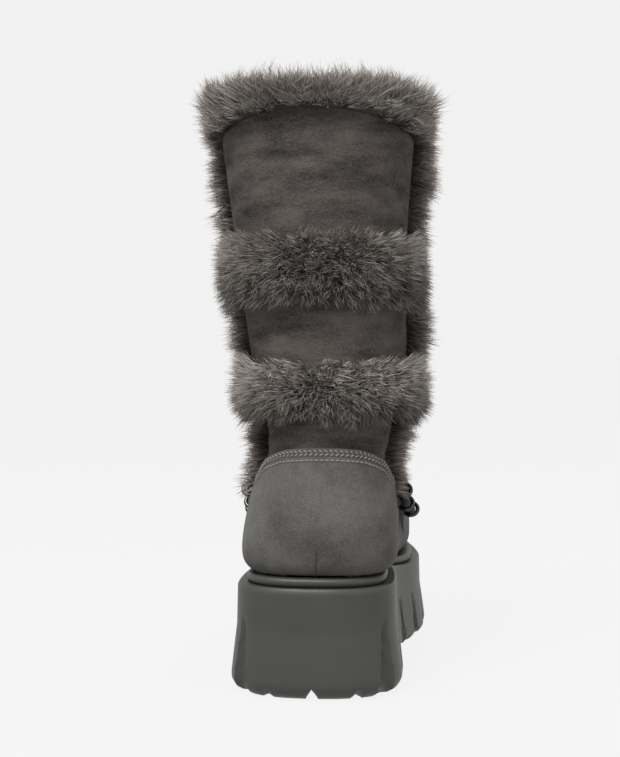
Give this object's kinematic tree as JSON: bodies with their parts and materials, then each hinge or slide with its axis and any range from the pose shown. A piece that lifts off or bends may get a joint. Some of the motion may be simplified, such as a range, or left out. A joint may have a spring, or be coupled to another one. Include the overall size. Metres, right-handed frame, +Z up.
{
  "type": "sheepskin boot",
  "caption": "Left mid-calf sheepskin boot with a thick lugged sole, suede foot, laced instep, smooth shaft, and deep fur round the collar, in bands and down both sides.",
  "frame": {"origin": "middle of the heel's flat tread, on the floor", "axes": "+Z up, +Y towards the toe, +X towards the inner side of the left foot"},
  "size_m": [0.13, 0.2842, 0.3229],
  "materials": {
    "rubber": "satin moulded rubber",
    "suede": "matte suede with a short nap",
    "sheepskin": "matte smooth side of a sheepskin",
    "fur": "long soft sheepskin fur",
    "cord": "round woven lace",
    "gunmetal": "dark polished metal",
    "felt": "sheared wool lining"
  },
  "bodies": {
    "root": {"outsole": "rubber", "midsole": "rubber", "insole": "felt", "upper": "suede", "counter": "suede", "eyestay": "suede", "tongue": "sheepskin", "shaft": "sheepskin", "lace_crossings": "cord", "fur_collar": "fur", "fur_band_mid": "fur", "fur_band_low": "fur", "fur_edge_outer_top": "fur", "fur_edge_outer_mid": "fur", "fur_edge_outer_low": "fur", "fur_edge_inner_top": "fur", "fur_edge_inner_mid": "fur", "fur_edge_inner_low": "fur", "lace_ring_outer_1": "gunmetal", "lace_ring_outer_2": "gunmetal", "lace_ring_outer_3": "gunmetal", "lace_ring_inner_1": "gunmetal", "lace_ring_inner_2": "gunmetal", "lace_ring_inner_3": "gunmetal", "lace_tab_outer_1": "suede", "lace_tab_outer_2": "suede", "lace_tab_outer_3": "suede", "lace_tab_inner_1": "suede", "lace_tab_inner_2": "suede", "lace_tab_inner_3": "suede"}
  },
  "joints": []
}
